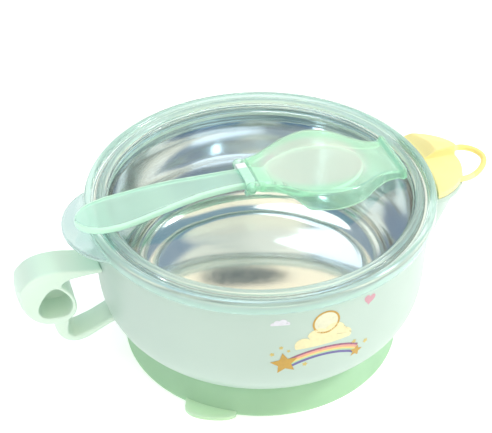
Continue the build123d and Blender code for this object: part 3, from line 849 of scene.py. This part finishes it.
def bowl_half(x):
    """Half width of the spoon's bowl."""
    u = (x - BOWL_X) / BOWL_L
    return BOWL_W * sqrt(1 - u * u) if abs(u) < 1 else 0.0


def spoon_half(x):
    """Half width of the whole spoon."""
    bar = along(BAR_HALF, x) if x < 10 else 0.0
    bowl = bowl_half(x)
    return smooth_max(bar, bowl, 3.0) if x < 14 else bowl


def spoon_row(x):
    """Cross-section of the spoon: a soft box, hollowed in the bowl and recessed in the handle."""
    squareness, count = 2 / 4.5, 72
    half = spoon_half(x)
    thick = BAR_THICK - (BAR_THICK - BOWL_THICK) * ease((x - 1.0) / 9.0)
    mid = along(BAR_TOP, x) - thick / 2
    tip = min(half / 1.6, 1.0)
    row = []
    for a in angles(count):
        c, s = cos(a), sin(a)
        y = half * (abs(c) ** squareness) * (1 if c >= 0 else -1)
        z = mid + thick / 2 * tip * (abs(s) ** squareness) * (1 if s >= 0 else -1)
        u, v = (x - BOWL_X) / HOLLOW_L, y / HOLLOW_W
        q = u * u + v * v
        if q < 1:
            z -= HOLLOW_DEEP * (1 - q) ** 0.62
        if s > 0:
            border = ease((half - abs(y) - 1.3) / 0.8)
            z -= RECESS_DEEP * border * ease((x - RECESS_FROM) / 3) * ease((RECESS_TO - x) / 5)
        row.append((x, y, z))
    return row


def build_spoon():
    """Spoon of soft box-like sections, closer together at its two rounded ends."""
    nose = 6.0
    xs = [BAR_END + nose * (1 - cos(pi / 2 * i / 12)) for i in range(1, 13)]
    xs += [BAR_END + nose + 1.2 * i for i in range(1, 75)]
    last, end = xs[-1], BOWL_X + BOWL_L
    xs += [last + (end - last) * sin(pi / 2 * i / 26) for i in range(1, 26)]
    rows = [[(BAR_END, 0.0, along(BAR_TOP, BAR_END) - BAR_THICK / 2)]]
    rows += [spoon_row(x) for x in xs]
    rows.append([(end, 0.0, BOWL_RIM - BOWL_THICK / 2)])
    spoon = grid("spoon_body", rows, (SPOON_MAT, SPOON_RIM_HIGHLIGHT, SPOON_BOWL), sharp=60)
    # the band along the spoon's edges takes the lighter rim plastic, a painted highlight
    for face in spoon.data.polygons:
        cx, cy = face.center.x / MM, face.center.y / MM
        if abs(cy) > spoon_half(cx) - 1.1:
            face.material_index = 1
        elif cx > 4.0:
            face.material_index = 2
    turned_about_z(spoon, SPOON_YAW)
    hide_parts("spoon")
    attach(spoon, "spoon")


COVER_START, COVER_END = -3.2, 58.0
# The cover along the spoon, (x, value): half width, height of the crown and height of the lower edge.
COVER_HALF = [(COVER_START, 9.6), (2.0, 11.3), (8.0, 15.0), (15.0, 19.6), (26.0, 22.5), (36.0, 20.4),
              (43.5, 15.2), (49.0, 12.2), (54.6, 11.5), (56.4, 12.7), (COVER_END, 12.9)]
COVER_CROWN = [(-3.5, 80.0), (4.0, 79.7), (14.0, 79.1), (26.0, 78.9), (38.0, 77.4), (47.0, 75.2),
               (52.0, 74.2), (55.0, 73.9), (56.4, 74.9), (59.0, 75.0)]
COVER_BASE = [(-3.5, 76.3), (4.0, 76.0), (7.0, 75.3), (9.6, 73.7), (12.0, 71.6), (14.0, 70.3),
              (16.5, 70.1), (59.0, 70.1)]


def cover_row(x, shift=0.0, press=0.0, tuck=0.0):
    """Cross-section of the cover, drawn in by a tuck and pressed towards its lower edge."""
    half = along(COVER_HALF, x) - tuck
    top = along(COVER_CROWN, x) - tuck
    base = along(COVER_BASE, x)
    middle = base + (top - base) * 0.5
    shoulder = min(2.6, (top - base) * 0.6)
    outline = rounded([
        (-half, base, 0), (-half, middle, 0), (-half, top - 0.12, shoulder),
        (-half * 0.5, top, 1.5), (0.0, top, 0), (half * 0.5, top, 1.5),
        (half, top - 0.12, shoulder), (half, middle, 0), (half, base, 0),
    ], 6)
    return [(x + shift, y, base + (z - base) * (1 - press)) for y, z, _ in outline]


def build_cover():
    """Thin-walled cover: one curved sheet from crown to skirt, closed at its tip, given a wall."""
    end = COVER_END
    xs = [COVER_START + 0.6 * i for i in range(101)]
    xs += [end - 0.9, end - 0.45, end - 0.15]
    rows = [cover_row(x, tuck=0.35 * ease((x - (end - 1.0)) / 1.0)) for x in xs]
    for shift, press in ((0.05, 0.12), (0.12, 0.3), (0.15, 0.55), (0.16, 0.8), (0.16, 0.97)):
        rows.append(cover_row(end - 0.15, shift, press, 0.35))
    points, faces = [], []
    width = len(rows[0])
    for row in rows:
        points.extend(row)
    for j in range(len(rows) - 1):
        for i in range(width - 1):
            a = j * width + i
            faces.append((a, a + width, a + width + 1, a + 1))
    cover = make_object("spoon_cover_clear", points, faces, (COVER_MAT,), sharp=60)
    up = sum(f.normal.z for f in cover.data.polygons if f.center.z > 77.5 * MM)
    if up < 0:
        cover.data.flip_normals()    # the wall is grown inwards from the outer face
    wall = cover.modifiers.new("wall", "SOLIDIFY")
    wall.thickness = 1.2 * MM
    wall.offset = -1
    wall.use_even_offset = False
    wall.use_quality_normals = True
    apply_modifiers(cover)
    finish_shading(cover.data, 50)
    lugs = build_lugs()
    turned_about_z(cover, SPOON_YAW)
    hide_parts("spoon_cover")
    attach(cover, "cover")
    for lug in lugs:
        turned_about_z(lug, SPOON_YAW)
        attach(lug, "cover")


PIN_X, PIN_Z = -6.5, 78.2


def side_disc(name, outline, y_low, y_high, radius, material):
    """Rounded flat piece standing across Y, from an outline in (x, z)."""
    obj = slab_from_outline(name, outline, y_low, y_high, radius, material)
    for v in obj.data.vertices:
        v.co.y, v.co.z = v.co.z, v.co.y
    obj.data.flip_normals()
    obj.data.update()
    return obj


def build_lugs():
    """The cover's two hinge ears: solid discs round the pin's ends, with an arm to the cover's wall."""
    outline = []
    for i in range(25):
        a = radians(40 + 280 * i / 24)
        outline.append((PIN_X + 2.25 * cos(a), PIN_Z + 2.25 * sin(a)))
    outline += [(-3.4, PIN_Z - 1.9), (-1.2, PIN_Z - 1.9), (-0.6, PIN_Z - 1.2), (-0.6, PIN_Z + 0.2),
                (-1.4, PIN_Z + 0.9), (-3.4, PIN_Z + 1.2)]
    lugs = []
    for side, low, high in (("far", 7.25, 9.5), ("near", -9.5, -7.25)):
        lugs.append(side_disc(f"cover_ear_{side}", outline, low, high, 0.4, COVER_MAT))
    return lugs


def build_clip():
    """Clip snapped round the neck, a round pin end on each side: mint in front, white behind."""
    tint_y = 2.4
    clip = softened_copy("neck_clip_white", "cover_clip", 0.16, 6, CLIP_MAT)
    clip.data.materials.append(CLIP_TINT)
    for face in clip.data.polygons:
        if face.center.y < tint_y * MM:
            face.material_index = 1
    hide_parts("cover_clip")
    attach(clip, "spoon")


# ---------------------------------------------------------------- plug

LOOP_START = 87.2    # the pull loop leaves the plug here


def build_plug():
    """Plug with its pad, ridge and stem, and a deeper yellow on its pull loop as painted shade."""
    plug = softened_copy("filler_plug_soft", "filler_plug", 0.26, 8, PLUG_MAT)
    plug.data.materials.append(LOOP_SHADE_MAT)
    for face in plug.data.polygons:
        if face.center.x > LOOP_START * MM:
            face.material_index = 1
    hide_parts("filler_plug")
    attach(plug, "plug")


# ---------------------------------------------------------------- print on the shell

INK_LIFT = 0.05
PRINT_R = 67.3


def shell_point(angle_deg, z, lift):
    """Point on the shell's side, lifted a little off it."""
    r = along(SHELL_SIDE, z) + lift
    a = radians(angle_deg)
    return (r * cos(a), r * sin(a), z)


def decal(name, outline, at, colour, layer=0, turn=0.0):
    """Flat shape in mm, laid on the shell about the point at = (angle, height)."""
    c, s = cos(radians(turn)), sin(radians(turn))
    work = bmesh.new()
    ring = []
    for u, v in outline:
        ring.append(work.verts.new((c * u - s * v, s * u + c * v, 0)))
    work.faces.new(ring)
    bmesh.ops.triangulate(work, faces=work.faces)
    for _ in range(5):
        long = [e for e in work.edges if e.calc_length() > 1.6]
        if not long:
            break
        bmesh.ops.subdivide_edges(work, edges=long, cuts=1)
        bmesh.ops.triangulate(work, faces=work.faces)
    lift = INK_LIFT * (1 + 0.6 * layer)
    for v in work.verts:
        u, w = v.co.x, v.co.y
        x, y, z = shell_point(at[0] + degrees(u / PRINT_R), at[1] + w, lift)
        v.co = (x * MM, y * MM, z * MM)
    mesh = bpy.data.meshes.new(name)
    work.to_mesh(mesh)
    work.free()
    mesh.materials.append(colour)
    shade_smooth(mesh)
    obj = bpy.data.objects.new(name, mesh)
    scene.collection.objects.link(obj)
    outward = sum((f.normal.x * f.center.x + f.normal.y * f.center.y) for f in mesh.polygons)
    if outward < 0:
        mesh.flip_normals()
    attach(obj, "shell")


def star(radius, inner=0.48, points=5):
    """Star outline with one point straight up."""
    out = []
    for i in range(points * 2):
        r = radius if i % 2 == 0 else radius * inner
        a = pi / 2 + pi * i / points
        out.append((r * cos(a), r * sin(a)))
    return out


def disc(radius, count=40):
    """Round outline."""
    return [(radius * cos(a), radius * sin(a)) for a in angles(count)]


def arc_band(r_in, r_out, low_deg, high_deg, count=48):
    """Band of a ring between two angles from straight up."""
    outer = [radians(90 - (low_deg + (high_deg - low_deg) * i / count)) for i in range(count + 1)]
    ring = [(r_out * cos(a), r_out * sin(a)) for a in outer]
    ring += [(r_in * cos(a), r_in * sin(a)) for a in reversed(outer)]
    return ring


def puffs(lobes, base, count=12):
    """Cloud outline: round lobes (x, y, r) from right to left above a flat base."""
    out = []
    for i, (x, y, r) in enumerate(lobes):
        low = -35 if i == 0 else 20
        high = 215 if i == len(lobes) - 1 else 160
        for k in range(count + 1):
            a = radians(low + (high - low) * k / count)
            out.append((x + r * cos(a), max(y + r * sin(a), base)))
    return out


def heart(size):
    """Heart outline, about as wide as its size."""
    out = []
    for i in range(48):
        t = 2 * pi * i / 48
        x = 16 * sin(t) ** 3
        y = 13 * cos(t) - 5 * cos(2 * t) - 2 * cos(3 * t) - cos(4 * t)
        out.append((x * size / 32, y * size / 32))
    return out


def build_print():
    """A plain printed rainbow with a sun, stars, a heart and clouds, on the shell's front."""
    gold = ink("ink_gold", (0.64, 0.44, 0.10))
    straw = ink("ink_straw", (0.70, 0.60, 0.25))
    centre = (-86.8, 14.4)
    bands = [
        ("plum", (0.42, 0.20, 0.30), 28.3, 29.2), ("salmon", (0.83, 0.46, 0.38), 27.3, 28.3),
        ("amber", (0.86, 0.70, 0.32), 26.5, 27.3), ("leaf", (0.52, 0.72, 0.50), 25.8, 26.5),
        ("violet", (0.24, 0.22, 0.46), 24.6, 25.8),
    ]
    for name, colour, r_in, r_out in bands:
        decal(f"print_band_{name}", arc_band(r_in, r_out, -31.0, 33.0), centre,
              ink(f"ink_{name}", colour))
    cream = ink("ink_cream", (0.86, 0.82, 0.56))
    big = puffs([(8.6, 0.6, 3.4), (4.4, 3.6, 4.6), (-2.2, 2.8, 4.4), (-7.8, 0.2, 3.4)], -2.6)
    decal("print_cloud_big", big, (-86.6, 46.4), cream, 1)
    sun = (-85.7, 56.0)
    decal("print_sun_disc", disc(5.0), sun, ink("ink_pale", (0.82, 0.82, 0.66)), 0)
    decal("print_sun_ring_a", arc_band(4.7, 5.5, -180.0, 0.0, 36), sun, gold, 1)
    decal("print_sun_ring_b", arc_band(4.7, 5.5, 0.0, 180.0, 36), sun, gold, 1)
    decal("print_star_big", star(5.6), (-99.3, 38.2), gold, 2, 8)
    decal("print_star_small", star(3.0), (-74.0, 35.3), gold, 2, -14)
    dots = [(-100.4, 46.5, 1.0), (-103.3, 43.3, 1.1), (-98.0, 44.5, 0.8), (-92.5, 36.4, 1.2),
            (-75.0, 40.8, 1.2), (-70.3, 38.3, 1.3)]
    for i, (a, z, r) in enumerate(dots):
        decal(f"print_spark_{i}", star(r, 0.6), (a, z), straw, 0, 20 * i)
    decal("print_heart", heart(5.4), (-69.7, 59.4), ink("ink_pink", (0.68, 0.42, 0.48)), 0, -12)
    small = puffs([(2.4, -0.2, 1.1), (0.8, 0.5, 1.6), (-1.4, 0.3, 1.4), (-3.0, -0.3, 0.9)], -1.1)
    decal("print_cloud_small", small, (-100.6, 58.8), ink("ink_lilac", (0.80, 0.80, 0.86)))


# ---------------------------------------------------------------- stage, light and camera

def build_stage():
    """Plain white floor, glowing a little so that it reads as paper."""
    sh = Shader("floor_pale", Roughness=0.7, IOR=1.2, Emission_Strength=0.40)
    sh.bsdf.inputs["Emission Color"].default_value = (1.0, 1.0, 1.0, 1.0)
    pale = [(0.3, (0.90, 0.90, 0.90)), (0.7, (0.92, 0.92, 0.92))]
    sh.set("Base Color", sh.ramp(sh.noise(9.0), pale))
    mesh = bpy.data.meshes.new("floor")
    size = 3.0
    mesh.from_pydata([(-size, -size, 0), (size, -size, 0), (size, size, 0), (-size, size, 0)], [],
                     [(0, 1, 2, 3)])
    mesh.materials.append(sh.mat)
    floor = bpy.data.objects.new("floor", mesh)
    scene.collection.objects.link(floor)


def area_light(name, place, target, size, power, colour=(1, 1, 1)):
    """Round soft light, aimed at a point. Places in metres."""
    light = bpy.data.lights.new(name, "AREA")
    light.shape = "DISK"
    light.size = size
    light.energy = power
    light.color = colour
    obj = bpy.data.objects.new(name, light)
    obj.location = place
    aim = Vector(target) - Vector(place)
    obj.rotation_euler = aim.to_track_quat("-Z", "Y").to_euler()
    scene.collection.objects.link(obj)
    return obj


def world_patch(nodes, base, direction, reach, colour):
    """Soft patch of sky round a direction, full up to reach[0] degrees from it, gone at reach[1]."""
    dot = nodes.add("ShaderNodeVectorMath", operation="DOT_PRODUCT")
    dot.inputs[1].default_value = Vector(direction).normalized()
    nodes.link(nodes.position("Generated"), dot.inputs[0])
    span = nodes.add("ShaderNodeMapRange", interpolation_type="SMOOTHSTEP")
    span.inputs["From Min"].default_value = cos(radians(reach[1]))
    span.inputs["From Max"].default_value = cos(radians(reach[0]))
    nodes.link(dot.outputs["Value"], span.inputs["Value"])
    mix = nodes.add("ShaderNodeMix", data_type="RGBA", clamp_result=False)
    nodes.link(span.outputs["Result"], mix.inputs["Factor"])
    nodes.link(base, mix.inputs["A"])
    mix.inputs["B"].default_value = (*colour, 1.0)
    return mix.outputs["Result"]


def build_light():
    """Pale horizon under a cool sky with bright patches and a dark one, and three soft lamps."""
    world = bpy.data.worlds.new("studio")
    scene.world = world
    world.use_nodes = True
    nodes = Nodes(world.node_tree)
    sky = nodes.ramp(nodes.split(nodes.position("Generated"))["Z"], [
        (0.0, (1.0, 0.97, 0.91)), (0.28, (0.98, 0.93, 0.84)), (0.46, (0.20, 0.36, 0.54)),
        (1.0, (0.31, 0.47, 0.63)),
    ])
    patches = [
        ((0.28, 0.90, 0.62), (15, 31), (1.66, 1.50, 1.20)),
        ((0.20, 0.76, 0.68), (3, 5), (0.04, 0.12, 0.16)),
        ((-0.22, -0.74, 0.98), (20, 36), (1.75, 1.58, 1.30)),
        ((0.36, -0.54, 0.76), (16, 30), (1.50, 1.38, 1.14)),
    ]
    for direction, reach, colour in patches:
        sky = world_patch(nodes, sky, direction, reach, colour)
    back = world.node_tree.nodes["Background"]
    nodes.link(sky, back.inputs["Color"])
    back.inputs["Strength"].default_value = 0.85
    middle = (0, 0, 0.03)
    area_light("key", (0.80, -0.24, 0.72), middle, 0.22, 5.3, (1.0, 0.98, 0.95))
    over = area_light("overhead", (-0.35, 0.15, 1.10), middle, 0.9, 3.2)
    fill = area_light("front_fill", (-0.5, -0.9, 0.6), (0, 0, 0.04), 0.9, 0.5)
    for soft in (over, fill):
        soft.visible_glossy = False


def build_camera():
    """Camera 17 degrees to the left of straight on, looking down at the bowl."""
    data = bpy.data.cameras.new("camera")
    data.sensor_width = 36.0
    data.lens = 106.2
    data.shift_x = -0.0293
    data.shift_y = 0.083
    data.clip_start = 0.01
    camera = bpy.data.objects.new("camera", data)
    azimuth, elevation, distance = radians(-17.0), radians(39.65), 0.6
    target = Vector((0, 0, 0.035))
    back = Vector((sin(azimuth) * cos(elevation), -cos(azimuth) * cos(elevation), sin(elevation)))
    camera.location = target + back * distance
    camera.rotation_euler = (-back).to_track_quat("-Z", "Y").to_euler()
    scene.collection.objects.link(camera)
    scene.camera = camera


build_cup()
build_tab()
build_shell()
build_handle()
build_liner()
build_liner_seal()
build_lid()
build_lid_seal()
build_spoon()
build_clip()
build_cover()
build_plug()
build_print()
build_stage()
build_light()
build_camera()
scene.view_settings.view_transform = "Standard"
